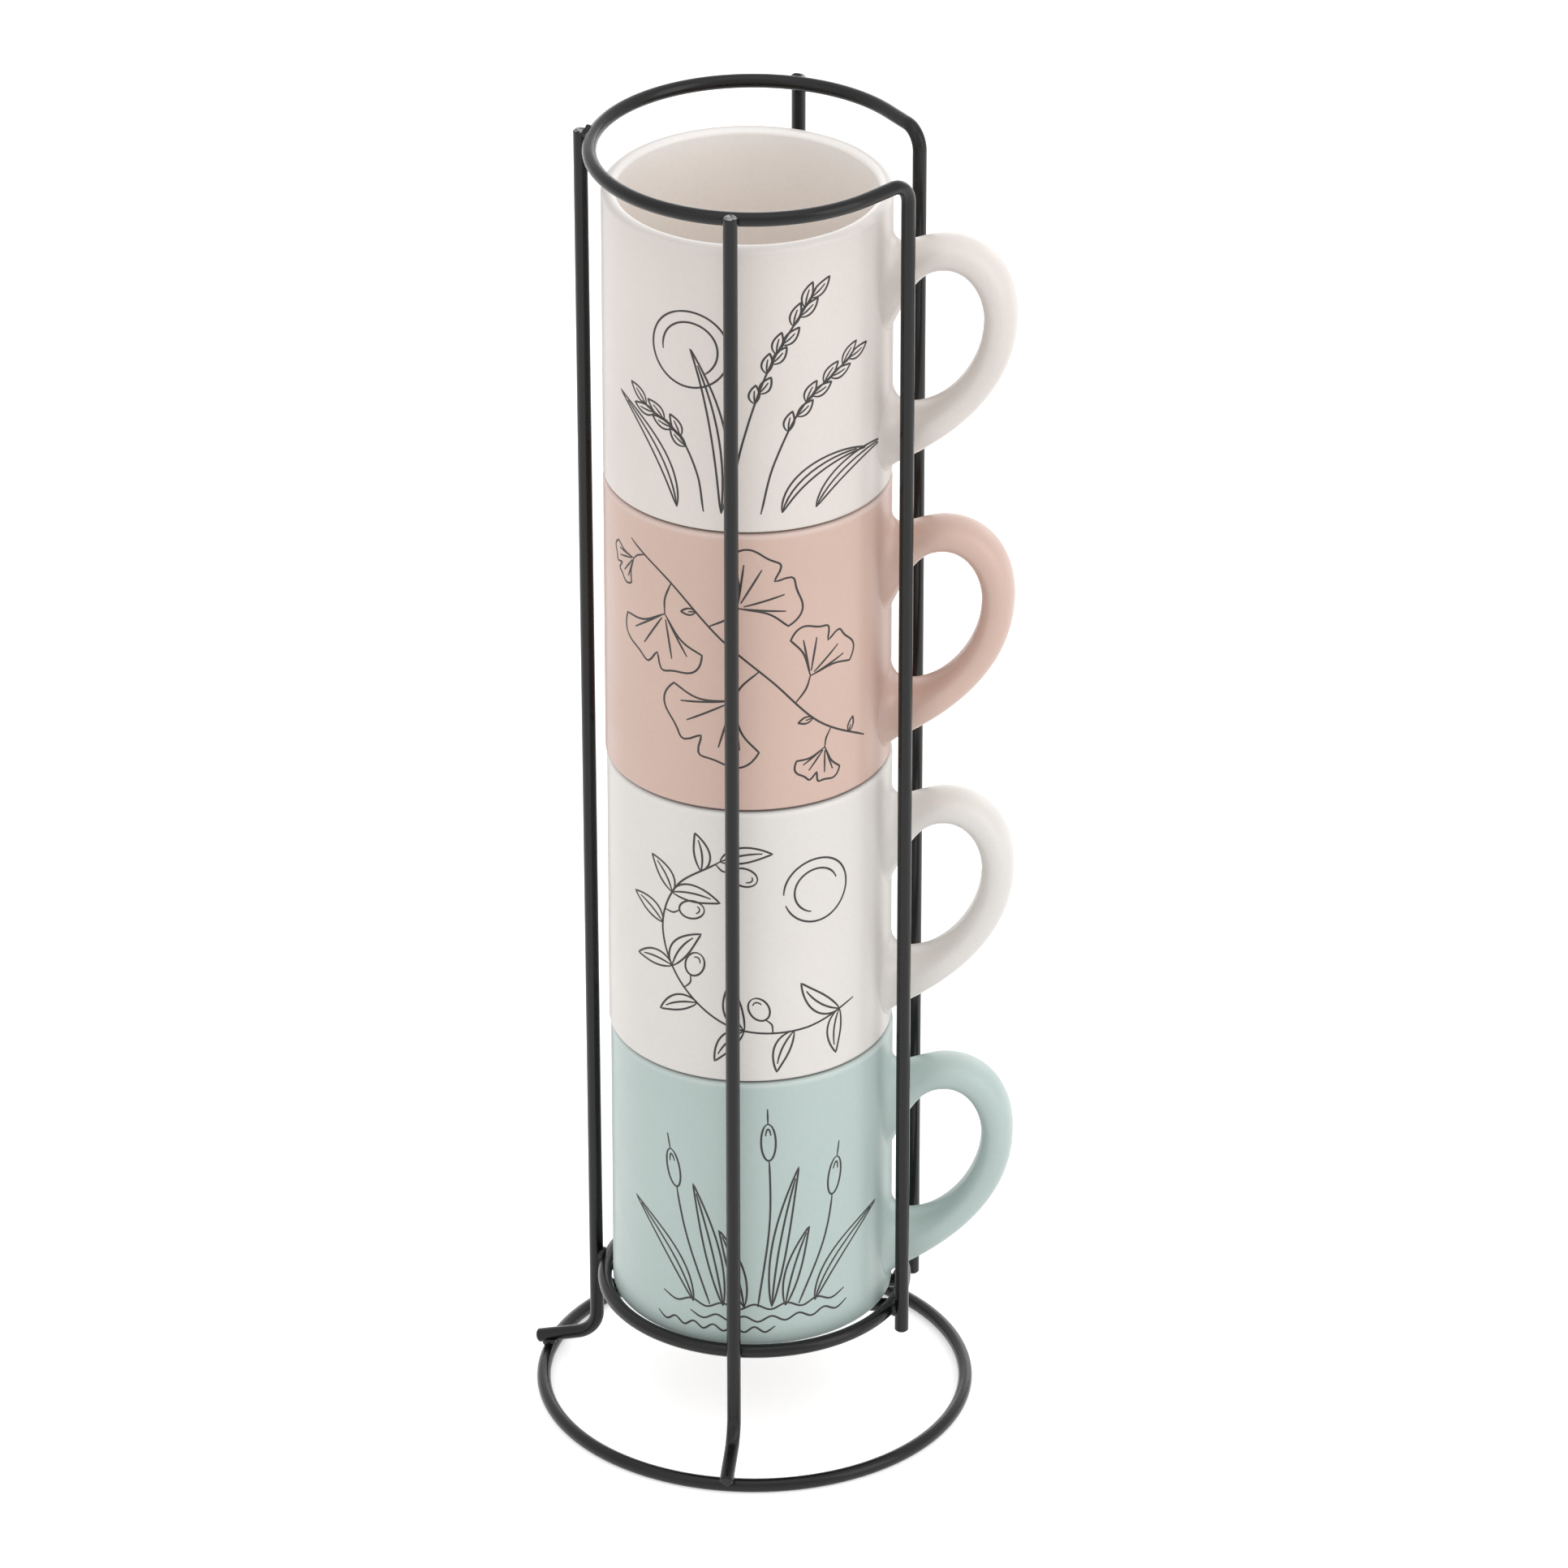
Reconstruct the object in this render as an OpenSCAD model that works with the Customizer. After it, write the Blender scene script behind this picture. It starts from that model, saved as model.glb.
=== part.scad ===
// Stacking mug rack: a cage of bent and welded round wire that holds four
// stacking mugs, each with its handle in the slot between the two legs of the hoop.
// Millimetres, +Z up, origin on the floor at the centre of the base ring,
// handles towards +X.

/* [Wire] */
// Diameter of every wire of the rack
wire_d = 4; // [3:0.25:5]
// Weld metal between two wires where they cross
weld_gap = 0.1; // [0.05:0.05:0.3]
// Radius of a weld bead
weld_r = 2.1; // [1.6:0.1:2.6]
// Length of the bevel on a cut wire end
tip_bevel = 0.5; // [0.2:0.1:1]

/* [Rack] */
// Room between the mugs and the inside of the hoop
hoop_clearance = 2.5; // [2:0.1:4]
// Room between the lowest mug and the inside of the support ring
support_clearance = 1; // [0.8:0.1:3]
// Height of the support ring's centre above the floor
support_h = 36; // [24:1:60]
// How far the base ring stands out beyond the uprights
base_spread = 14; // [12:0.5:24]
// Centre of the hoop above the rim of the top mug
hoop_rise = 11.2; // [5:0.2:20]
// Clear width between the legs of the hoop, for the handles
handle_slot = 29; // [25:0.5:34]
// Bend radius at the top of each leg, to the wire's centre
leg_bend_r = 6; // [4:0.5:9]
// How far each leg reaches below the support ring's centre
leg_tail = 6.5; // [3:0.5:12]
// Bend radius between an upright and its foot, to the wire's centre
foot_bend_r = 8; // [4:0.5:8]
// Slope of each foot, down to the base ring, in degrees
foot_slope = 15; // [0:1:25]
// How far each foot runs past the centre of the base ring
foot_over = 3; // [1.5:0.5:6]
// Places of the uprights round the rings: left, front and back
upright_angles = [172, -91, 81]; // [-180:1:180]
// How far the top end of each upright stands above the hoop's centre
upright_over = [0.5, 2.5, 0.5]; // [0:0.5:4]
// Half the distance between the two seat wires
seat_half = 7; // [6:0.5:20]
// How far short of the support ring's centre line each seat wire ends
seat_short = 0.5; // [0:0.25:1]

/* [Mugs] */
// Outer diameter of a mug
mug_d = 80.8; // [76:0.2:90]
// Height that each mug adds to the stack
mug_pitch = 87.3; // [84:0.1:100]
// Wall thickness
mug_wall = 4; // [3:0.25:5]
// Thickness of the bottom, foot included
mug_floor = 6; // [4.5:0.5:9]
// Height of the foot that drops into the mug below
foot_h = 1.5; // [1:0.25:3]
// Room between a foot and the mug that it drops into
foot_clearance = 1.2; // [1:0.1:1.8]
// Width of the foot's standing ring
foot_land = 4; // [2.5:0.5:7]
// Depth of the hollow inside the foot's standing ring
foot_hollow = 1.2; // [0.5:0.1:2]
// Rounding of the foot's edge
foot_round = 0.7; // [0.3:0.1:0.9]
// Rounding of the shoulder above the foot
shoulder_r = 1.2; // [0.8:0.1:2]
// Rounding of the rim, inside and out
rim_r = 1.4; // [0.6:0.1:1.5]
// Rounding between the wall and the bottom, inside
inner_r = 8; // [3:0.5:14]
// Gap between stacked mugs, and between the lowest mug and its seat
stack_gap = 0.45; // [0.2:0.05:0.6]
// How far each mug stands off centre, away from the slot, from the lowest up
stack_shifts = [0.6, 1.1, 1.5, 1.5]; // [0:0.1:1.6]
// Turn of each handle in the slot, from the lowest mug up
handle_turns = [1, 0, -2, -3]; // [-4:0.5:4]

/* [Handle] */
// Reach of the handle beyond the mug's wall
handle_out = 35; // [30:0.2:42]
// Thickness of the handle, seen from the side
handle_t = 9.2; // [7:0.2:10]
// Width of the handle
handle_w = 14; // [11:0.5:15]
// Extra width where the handle joins the mug
handle_flare = 4; // [0:0.5:5]
// Top of the handle above the shoulder
handle_top = 75.7; // [70:0.1:78]
// Top of the upper joint above the shoulder
upper_joint_top = 71.3; // [66:0.1:74]
// Height of the upper joint on the wall
upper_joint_h = 22.8; // [16:0.2:26]
// Bottom of the lower joint above the shoulder
lower_joint_z = 5.5; // [4:0.5:12]
// Height of the lower joint on the wall
lower_joint_h = 18.5; // [12:0.5:20]
// Height of the handle's widest reach above the shoulder
handle_side_z = 52; // [46:0.5:56]

/* [Hidden] */

eps = 0.01;
mug_count = 4;
$fn = 64;
wire_fn = 32;
weld_fn = 96;
seam_over = 0.02;

// Rack, in plan: the hoop and the support ring round the mugs, and the wires that
// stand outside them. The legs are plumb; the uprights lean out to the wider hoop.
mug_r = mug_d / 2;
hoop_r = mug_r + hoop_clearance + wire_d / 2;
support_r = mug_r + support_clearance + wire_d / 2;
upright_top_r = hoop_r + wire_d + weld_gap;
upright_low_r = support_r + wire_d + weld_gap;
base_r = upright_low_r + base_spread;
leg_y = (handle_slot + wire_d) / 2;
leg_angle = asin(leg_y / upright_low_r);
leg_x = upright_low_r * cos(leg_angle);
// The hoop leaves its circle on a tangent that meets the leg
leave_angle = leg_angle + acos(hoop_r / upright_low_r);
tangent_run = sqrt(upright_low_r * upright_low_r - hoop_r * hoop_r);
seat_cross_x = sqrt(support_r * support_r - seat_half * seat_half);
seat_end_x = seat_cross_x - seat_short;
// The bead that fills the corner between a seat wire's end and the ring
seat_weld_x = seat_end_x - weld_r / 4;

// Rack and stack, in height
base_z = wire_d / 2;
foot_rise = wire_d + weld_gap;
seat_z = support_h - wire_d - weld_gap;
shoulder_z = seat_z + wire_d / 2 + stack_gap + foot_h;
body_h = mug_pitch - stack_gap;
hoop_z = shoulder_z + mug_pitch * (mug_count - 1) + body_h + hoop_rise;
leg_top_z = hoop_z - leg_bend_r;
upright_lean = atan((upright_top_r - upright_low_r) / (hoop_z - support_h));

// An upright's bend: how far it carries the wire outwards and up, and the length
// of its foot from the base ring to the bend
bend_out = foot_bend_r * (sin(foot_slope) - cos(upright_lean));
bend_up = foot_bend_r * (cos(foot_slope) + sin(upright_lean));
foot_length = (base_r - upright_low_r + foot_rise * sin(foot_slope) + bend_out
    + (support_h - base_z - foot_rise * cos(foot_slope) - bend_up) * tan(upright_lean))
    / (cos(foot_slope) + sin(foot_slope) * tan(upright_lean));
stand_z = base_z + foot_rise * cos(foot_slope) + foot_length * sin(foot_slope) + bend_up;

// Mug: radii of the hollow and of the foot
hollow_r = mug_r - mug_wall;
foot_r = hollow_r - foot_clearance;

// Handle loft: steps along each of its three curves, and points round it
curve_steps = 9;
section_points = 20;
// Roundness of the section: 2 is an ellipse, more is squarer
section_power = 2.4;
// The seat stands this far off the wall, so its flat facets don't cut into the curve
seat_off = 0.04;
// Share of each end curve over which the handle widens to its joint
flare_share = 0.8;
cap_rings = 3;

wire_grey = [0.2, 0.2, 0.21];
mug_colours = [[0.66, 0.75, 0.73], [0.87, 0.85, 0.82], [0.82, 0.68, 0.63], [0.87, 0.84, 0.81]];

// ---- Bent wire ----
// A wire runs along its own +Z and bends towards its own +X. Each step carries
// what follows it as its children.

module tip() {
    cylinder(h = tip_bevel, d1 = wire_d - 2 * tip_bevel, d2 = wire_d, $fn = wire_fn);
    translate([0, 0, tip_bevel])
        children();
}

module run(length) {
    cylinder(h = length, d = wire_d, $fn = wire_fn);
    translate([0, 0, length])
        children();
}

module bend(angle, radius) {
    translate([radius, 0, 0])
        rotate([90, 0, 0])
            rotate([0, 0, 180 - angle])
                rotate_extrude(angle = angle, $fn = radius > leg_bend_r + foot_bend_r ? 128 : 48)
                    translate([radius, 0])
                        circle(d = wire_d, $fn = wire_fn);
    translate([radius, 0, 0])
        rotate([0, angle, 0])
            translate([-radius, 0, 0])
                children();
}

module turn(angle) {
    rotate([0, 0, angle])
        children();
}

// Joins two lengths whose ends meet at an odd angle: a ball a hair wider than the wire
module seam() {
    sphere(r = wire_d / 2 + seam_over, $fn = 48);
    children();
}

module end_tip() {
    cylinder(h = tip_bevel, d1 = wire_d, d2 = wire_d - 2 * tip_bevel, $fn = wire_fn);
}

module ring(radius, z, sides = wire_fn) {
    translate([0, 0, z])
        rotate_extrude($fn = 4 * sides)
            translate([radius, 0])
                circle(d = wire_d, $fn = sides);
}

// ---- Rack ----

module base_ring() {
    color(wire_grey)
        ring(base_r, base_z);
}

module support_ring() {
    color(wire_grey)
        ring(support_r, support_h);
}

// Wire bent round the mouth of the rack, both its ends turned down onto the legs
module top_hoop() {
    straight = tangent_run - leg_bend_r;
    color(wire_grey)
        translate([leg_x, -leg_y, leg_top_z])
            turn(-90 - leave_angle)
                bend(90, leg_bend_r)
                run(straight)
                seam()
                turn(-90)
                bend(360 - 2 * leave_angle, hoop_r)
                seam()
                run(straight)
                turn(90)
                bend(90, leg_bend_r);
}

// Straight wire on one side of the handles, from the hoop down past the support ring
module leg(side) {
    leg_foot_z = support_h - leg_tail;
    color(wire_grey)
        translate([leg_x, side * leg_y, leg_foot_z])
            tip()
            run(leg_top_z - leg_foot_z - tip_bevel);
}

// Puts a piece on top of the base ring, on the line of a foot that slopes down along +X
module over_base(rise) {
    translate([base_r, 0, base_z])
        rotate([0, foot_slope, 0])
            translate([0, 0, rise])
                children();
}

// One wire: its foot lies across the base ring, and it stands outside the other rings
module upright(place) {
    stand = (hoop_z + upright_over[place] - stand_z) / cos(upright_lean) - tip_bevel;
    color(wire_grey)
        turn(upright_angles[place])
            over_base(foot_rise)
                translate([foot_over, 0, 0])
                    rotate([0, -90, 0])
                        tip()
                        run(foot_over + foot_length - tip_bevel)
                        bend(90 + upright_lean - foot_slope, foot_bend_r)
                        run(stand)
                        end_tip();
}

// Straight wire under the support ring that the lowest mug stands on
module seat_wire(side) {
    color(wire_grey)
        translate([-seat_end_x, side * seat_half, seat_z])
            rotate([0, 90, 0])
                tip()
                run(2 * (seat_end_x - tip_bevel))
                end_tip();
}

// ---- Welds ----
// Each bead fills the corner between two wires that cross.

module bead() {
    sphere(r = weld_r, $fn = weld_fn);
}

// The stretch of wire that a bead is cut back from
module bead_wire() {
    cylinder(h = 3 * weld_r, d = wire_d, center = true, $fn = weld_fn);
}

// Beads between a ring and the wires that stand outside it
module post_welds(angles, z, ring_r, post_r, lean) {
    color(wire_grey)
        difference() {
            for (angle = angles)
                turn(angle)
                    translate([(ring_r + post_r) / 2, 0, z])
                        bead();
            ring(ring_r, z, weld_fn);
            for (angle = angles)
                turn(angle)
                    translate([post_r, 0, z])
                        rotate([0, lean, 0])
                            bead_wire();
        }
}

module hoop_welds() {
    post_welds(upright_angles, hoop_z, hoop_r, upright_top_r, upright_lean);
}

module ring_welds() {
    post_welds(upright_angles, support_h, support_r, upright_low_r, upright_lean);
    post_welds([-leg_angle, leg_angle], support_h, support_r, upright_low_r, 0);
}

module foot_welds() {
    color(wire_grey)
        difference() {
            for (angle = upright_angles)
                turn(angle)
                    over_base(foot_rise / 2)
                        bead();
            ring(base_r, base_z, weld_fn);
            for (angle = upright_angles)
                turn(angle)
                    over_base(foot_rise)
                        rotate([0, 90, 0])
                            bead_wire();
        }
}

module seat_welds() {
    color(wire_grey)
        difference() {
            for (x = [-seat_weld_x, seat_weld_x], y = [-seat_half, seat_half])
                translate([x, y, (support_h + seat_z) / 2])
                    bead();
            ring(support_r, support_h, weld_fn);
            for (y = [-seat_half, seat_half])
                translate([0, y, seat_z])
                    rotate([0, 90, 0])
                        cylinder(h = 2 * seat_end_x, d = wire_d, center = true, $fn = weld_fn);
        }
}

// ---- Cup ----
// Half section, with its zero height at the shoulder, where it meets the rim below.

module cup_outside() {
    foot_edge = foot_r - foot_round;
    translate([0, -foot_h])
        square([foot_edge, mug_floor]);
    translate([0, -foot_h + foot_round])
        square([foot_r, mug_floor - foot_round]);
    translate([foot_edge, -foot_h + foot_round])
        circle(r = foot_round);
    square([mug_r - shoulder_r, body_h - rim_r]);
    translate([0, shoulder_r])
        square([mug_r, body_h - rim_r - shoulder_r]);
    translate([mug_r - shoulder_r, shoulder_r])
        circle(r = shoulder_r);
    square([mug_r - rim_r, body_h]);
    translate([mug_r - rim_r, body_h - rim_r])
        circle(r = rim_r);
}

module cup_hollow() {
    inside_z = mug_floor - foot_h;
    translate([0, inside_z])
        square([hollow_r - inner_r, body_h]);
    translate([0, inside_z + inner_r])
        square([hollow_r, body_h]);
    translate([hollow_r - inner_r, inside_z + inner_r])
        circle(r = inner_r);
    difference() {
        translate([0, body_h - rim_r])
            square([hollow_r + rim_r, 2 * rim_r]);
        translate([hollow_r + rim_r, body_h - rim_r])
            circle(r = rim_r);
    }
}

module cup_section() {
    difference() {
        cup_outside();
        cup_hollow();
        translate([0, -foot_h - eps])
            square([foot_r - foot_land, foot_hollow + eps]);
    }
}

// Puts a piece of a mug on its place in the stack, 0 being the lowest
module stacked(level) {
    translate([-stack_shifts[level], 0, shoulder_z + level * mug_pitch])
        rotate([0, 0, handle_turns[level]])
            children();
}

module mug_cup(level) {
    color(mug_colours[level])
        stacked(level)
            rotate_extrude($fn = 128)
                intersection() {
                    cup_section();
                    translate([0, -foot_h])
                        square([mug_r, foot_h + body_h]);
                }
}

// ---- Handle ----
// A loft between two side outlines, the outer and the inner, each of three Bezier
// curves: from the upper joint to the crest, to the widest reach, to the lower joint.

function bezier(p, t) =
    pow(1 - t, 3) * p[0] + 3 * t * pow(1 - t, 2) * p[1] + 3 * t * t * (1 - t) * p[2] + pow(t, 3) * p[3];

joint_x = mug_r;
outer_x = mug_r + handle_out;
inner_x = outer_x - handle_t;
crest_x = mug_r + 0.45 * handle_out;
inner_top = handle_top - handle_t;
upper_joint_low = upper_joint_top - upper_joint_h;
lower_joint_top = lower_joint_z + lower_joint_h;

outer_curves = [
    [[joint_x, upper_joint_top],
        [joint_x + 0.5 * (crest_x - joint_x), handle_top - 0.3 * (handle_top - upper_joint_top)],
        [joint_x + 0.7 * (crest_x - joint_x), handle_top],
        [crest_x, handle_top]],
    [[crest_x, handle_top],
        [crest_x + 0.6 * (outer_x - crest_x), handle_top],
        [outer_x, handle_side_z + 0.6 * (handle_top - handle_side_z)],
        [outer_x, handle_side_z]],
    [[outer_x, handle_side_z],
        [outer_x, lower_joint_z + 0.57 * (handle_side_z - lower_joint_z)],
        [joint_x + 0.56 * handle_out, lower_joint_z + 0.22 * (handle_side_z - lower_joint_z)],
        [joint_x, lower_joint_z]]
];
inner_curves = [
    [[joint_x, upper_joint_low],
        [joint_x + 0.24 * (crest_x - joint_x), upper_joint_low + 0.25 * (inner_top - upper_joint_low)],
        [joint_x + 0.35 * (crest_x - joint_x), inner_top],
        [crest_x, inner_top]],
    [[crest_x, inner_top],
        [crest_x + 0.6 * (inner_x - crest_x), inner_top],
        [inner_x, handle_side_z + 0.5 * (inner_top - handle_side_z)],
        [inner_x, handle_side_z]],
    [[inner_x, handle_side_z],
        [inner_x, lower_joint_top + 0.43 * (handle_side_z - lower_joint_top)],
        [joint_x + 0.45 * (inner_x - joint_x), lower_joint_top - 0.27 * lower_joint_h],
        [joint_x, lower_joint_top]]
];

stations = [for (curve = [0 : 2], step = [(curve == 0 ? 0 : 1) : curve_steps]) [curve, step / curve_steps]];

// Half the handle's width at a station: wider towards both joints
function near_joint(s) = s[0] == 0 ? 1 - s[1] / flare_share
    : s[0] == 2 ? 1 - (1 - s[1]) / flare_share
    : 0;
function half_width(s) = (handle_w + handle_flare * pow(max(0, near_joint(s)), 2)) / 2;

function rounded(value) = sign(value) * pow(abs(value), 2 / section_power);

function section(s) =
    let (outer = bezier(outer_curves[s[0]], s[1]),
         inner = bezier(inner_curves[s[0]], s[1]),
         middle = (outer + inner) / 2,
         across = (outer - inner) / 2,
         wide = half_width(s))
    [for (i = [0 : section_points - 1])
        let (a = 360 * i / section_points,
             p = middle + across * rounded(cos(a)))
        [p[0], wide * rounded(sin(a)), p[1]]];

// Moves a point straight onto the cup's wall
function on_wall(p) = [sqrt(pow(mug_r + seat_off, 2) - p[1] * p[1]), p[1], p[2]];

function middle_of(points) = [for (axis = [0 : 2]) [for (p = points) 1] * [for (p = points) p[axis]] / len(points)];

// Rings of points that close an end over the cup's wall, from the outline inwards
function cap_points(points) =
    let (centre = middle_of(points))
    [for (k = [cap_rings - 1 : -1 : 1], p = points) on_wall(centre + (p - centre) * k / cap_rings)];

module handle_solid() {
    n = section_points;
    last = len(stations) - 1;
    upper_joint = [for (p = section(stations[0])) on_wall(p)];
    lower_joint = [for (p = section(stations[last])) on_wall(p)];
    tube = [for (k = [0 : last], p = k == 0 ? upper_joint : k == last ? lower_joint : section(stations[k])) p];
    // Point rings in order: cap over the upper joint, tube, cap over the lower joint
    upper_cap = cap_points(upper_joint);
    lower_cap = cap_points(lower_joint);
    upper_rings = [for (k = [cap_rings - 2 : -1 : 0], i = [0 : n - 1]) upper_cap[k * n + i]];
    points = concat(upper_rings, tube, lower_cap,
        [on_wall(middle_of(upper_joint)), on_wall(middle_of(lower_joint))]);
    rings = len(points) / n - 2 / n;
    upper_centre = rings * n;
    lower_centre = upper_centre + 1;
    sides = [for (k = [0 : rings - 2], i = [0 : n - 1])
        let (a = k * n + i, b = k * n + (i + 1) % n)
        each [[a, b, a + n], [b, b + n, a + n]]];
    upper_fan = [for (i = [0 : n - 1]) [upper_centre, (i + 1) % n, i]];
    lower_start = (rings - 1) * n;
    lower_fan = [for (i = [0 : n - 1]) [lower_centre, lower_start + i, lower_start + (i + 1) % n]];
    polyhedron(points = points, faces = concat(sides, upper_fan, lower_fan), convexity = 6);
}

module mug_handle(level) {
    color(mug_colours[level])
        stacked(level)
            handle_solid();
}

base_ring();
support_ring();
top_hoop();
leg(-1);  // front_leg
leg(1);  // back_leg
upright(0);  // left_upright
upright(1);  // front_upright
upright(2);  // back_upright
seat_wire(-1);  // front_seat_wire
seat_wire(1);  // back_seat_wire
foot_welds();
seat_welds();
ring_welds();
hoop_welds();
mug_cup(0);  // mint_mug_cup
mug_handle(0);  // mint_mug_handle
mug_cup(1);  // lower_cream_mug_cup
mug_handle(1);  // lower_cream_mug_handle
mug_cup(2);  // pink_mug_cup
mug_handle(2);  // pink_mug_handle
mug_cup(3);  // upper_cream_mug_cup
mug_handle(3);  // upper_cream_mug_handle
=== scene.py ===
"""Stacking mug rack, dressed: glazed mugs with line prints in a powder-coated wire rack.

Metres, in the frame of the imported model: +Z up, floor at zero, handles towards +X.
"""

import math

import bmesh
import bpy
from mathutils import Matrix, Vector


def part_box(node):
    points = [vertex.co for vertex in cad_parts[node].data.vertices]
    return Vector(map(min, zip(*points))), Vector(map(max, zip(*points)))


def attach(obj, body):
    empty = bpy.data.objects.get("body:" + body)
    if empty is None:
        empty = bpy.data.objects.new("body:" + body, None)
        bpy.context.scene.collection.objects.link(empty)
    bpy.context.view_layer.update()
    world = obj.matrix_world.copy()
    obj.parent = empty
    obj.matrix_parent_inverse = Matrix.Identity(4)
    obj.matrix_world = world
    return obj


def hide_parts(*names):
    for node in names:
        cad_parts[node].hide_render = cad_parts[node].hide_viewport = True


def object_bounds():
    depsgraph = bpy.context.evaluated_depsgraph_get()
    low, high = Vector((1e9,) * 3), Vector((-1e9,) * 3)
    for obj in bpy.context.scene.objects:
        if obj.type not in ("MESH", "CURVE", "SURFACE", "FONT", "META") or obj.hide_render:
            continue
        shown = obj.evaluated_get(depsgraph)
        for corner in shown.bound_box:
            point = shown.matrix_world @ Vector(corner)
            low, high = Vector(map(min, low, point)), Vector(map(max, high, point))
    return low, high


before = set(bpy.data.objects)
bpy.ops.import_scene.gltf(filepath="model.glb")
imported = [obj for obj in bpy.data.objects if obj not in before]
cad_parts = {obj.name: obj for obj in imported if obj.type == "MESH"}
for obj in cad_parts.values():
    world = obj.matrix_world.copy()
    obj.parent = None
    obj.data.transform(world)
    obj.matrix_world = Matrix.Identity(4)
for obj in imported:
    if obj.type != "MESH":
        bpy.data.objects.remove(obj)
cad_low, cad_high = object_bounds()

MM = 0.001

# ---- Sizes that the boxes of the CAD nodes don't give ----

FOOT_H = 1.5 * MM            # foot below the shoulder, which drops into the mug beneath
WALL = 4 * MM

# Handle. Heights are above the shoulder.
HANDLE_OUT = 35 * MM         # reach beyond the mug's wall
CREST_SHARE = 0.45           # share of that reach at which its crest lies
HANDLE_T = 9.2 * MM          # thickness, seen from the side
HANDLE_W = 14 * MM           # width
HANDLE_FLARE = 4 * MM        # extra width where it joins the mug
HANDLE_TOP = 75.7 * MM
HANDLE_SIDE = 52 * MM        # height of its widest reach
UPPER_JOINT_TOP = 71.3 * MM
UPPER_JOINT_H = 22.8 * MM
LOWER_JOINT = 5.5 * MM       # bottom of the lower joint
LOWER_JOINT_H = 18.5 * MM
SECTION_POWER = 2.4          # 2 makes the section an ellipse, and more makes it squarer
FLARE_SHARE = 0.8            # share of each end curve over which it widens to its joint

RACK_NODES = [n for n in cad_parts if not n.endswith(("_cup", "_handle"))]
UPRIGHTS = ["left_upright", "front_upright", "back_upright"]

# ---- Colours, linear ----

# Each glaze, outside and inside the mug
MINT = (0.45, 0.545, 0.52), (0.50, 0.60, 0.57)
CREAM = (0.715, 0.655, 0.616), (0.92, 0.86, 0.81)
PLAIN_CREAM = (0.720, 0.688, 0.650), (0.92, 0.88, 0.84)
PINK = (0.615, 0.435, 0.367), (0.72, 0.55, 0.48)
# Thin glaze is this share of the way from its own colour to near white; outside, just below the rim,
# that pale band is also a painted highlight
THIN_GLAZE_AND_HIGHLIGHT_SHARE = 0.5
NEAR_WHITE = 0.9
BISQUE = (0.60, 0.52, 0.44)
# Painted shade of the seam where a mug sits in the one beneath: its colour, and how far it reaches above
# the shoulder
PAINTED_SEAM_SHADE = (0.14, 0.095, 0.072), 0.5 * MM
DARK_PAINTED_SEAM_SHADE = (0.075, 0.034, 0.024), 0.85 * MM
COAT = (0.003, 0.003, 0.003)
CUT_STEEL = (0.30, 0.30, 0.30)
INK = (0.020, 0.0165, 0.0155)
INK_FADE = 3.2               # how much lighter the ink is where it is thin


# ---- Node helpers ----

# Most of a noise texture's values lie between these
NOISE_LOW = 0.3
NOISE_HIGH = 0.7


def new_material(name):
    material = bpy.data.materials.new(name)
    material.use_nodes = True
    tree = material.node_tree
    return material, tree, tree.nodes["Principled BSDF"]


def is_socket(value):
    return isinstance(value, bpy.types.NodeSocket)


def add_node(tree, kind, settings=None, **inputs):
    """A node with its settings and inputs set. An input that is an output socket is linked.

    An input is named with _ for each space, or given as _ and its number.
    """
    node = tree.nodes.new(kind)
    for key, value in (settings or {}).items():
        setattr(node, key, value)
    for key, value in inputs.items():
        socket = node.inputs[int(key[1:]) if key[1:].isdigit() else key.replace("_", " ")]
        if is_socket(value):
            tree.links.new(value, socket)
        else:
            socket.default_value = value
    return node


def noise(tree, coordinates, size, detail=2):
    """Noise whose features are about `size` metres across."""
    return add_node(tree, "ShaderNodeTexNoise", Vector=coordinates, Scale=1 / size,
                    Detail=detail).outputs["Fac"]


def remap(tree, value, start, end, low=0, high=1):
    """`value` from start..end to low..high, held at both ends."""
    return add_node(tree, "ShaderNodeMapRange", Value=value, From_Min=start, From_Max=end,
                    To_Min=low, To_Max=high).outputs["Result"]


def vary(tree, coordinates, size, low, high, detail=2):
    """A number that drifts between low and high, in patches about `size` metres across."""
    patches = noise(tree, coordinates, size, detail)
    return remap(tree, patches, NOISE_LOW, NOISE_HIGH, low, high)


def maths(tree, operation, first, second):
    return add_node(tree, "ShaderNodeMath", {"operation": operation}, _0=first, _1=second).outputs[0]


def vector_maths(tree, operation, **inputs):
    return add_node(tree, "ShaderNodeVectorMath", {"operation": operation}, **inputs).outputs


def scale_colour(tree, colour, factor):
    """A colour, brightened or darkened by a factor from a socket."""
    return vector_maths(tree, "SCALE", Vector=colour, Scale=factor)["Vector"]


def blend_colour(tree, share, first, second):
    """The first colour where share is 0, and the second where it is 1."""
    first, second = (c if is_socket(c) else (*c, 1) for c in (first, second))
    # A Mix node's two colours are its inputs 6 and 7, and its output 2
    node = add_node(tree, "ShaderNodeMix", {"data_type": "RGBA"}, _0=share, _6=first, _7=second)
    return node.outputs[2]


def blend_number(tree, share, first, second):
    """The first number where share is 0, and the second where it is 1."""
    # A Mix node's two numbers are its inputs 2 and 3, and its output 0
    node = add_node(tree, "ShaderNodeMix", {"data_type": "FLOAT"}, _0=share, _2=first, _3=second)
    return node.outputs[0]


def bump(tree, height, distance, strength, under=None):
    """The surface's normal, made uneven. `under` is a coarser bump that this one lies on."""
    node = add_node(tree, "ShaderNodeBump", Height=height, Distance=distance, Strength=strength)
    if under is not None:
        tree.links.new(under, node.inputs["Normal"])
    return node.outputs["Normal"]


def object_coordinates(tree):
    return add_node(tree, "ShaderNodeTexCoord").outputs["Object"]


def height_of(tree, coordinates):
    return add_node(tree, "ShaderNodeSeparateXYZ", Vector=coordinates).outputs["Z"]


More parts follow.
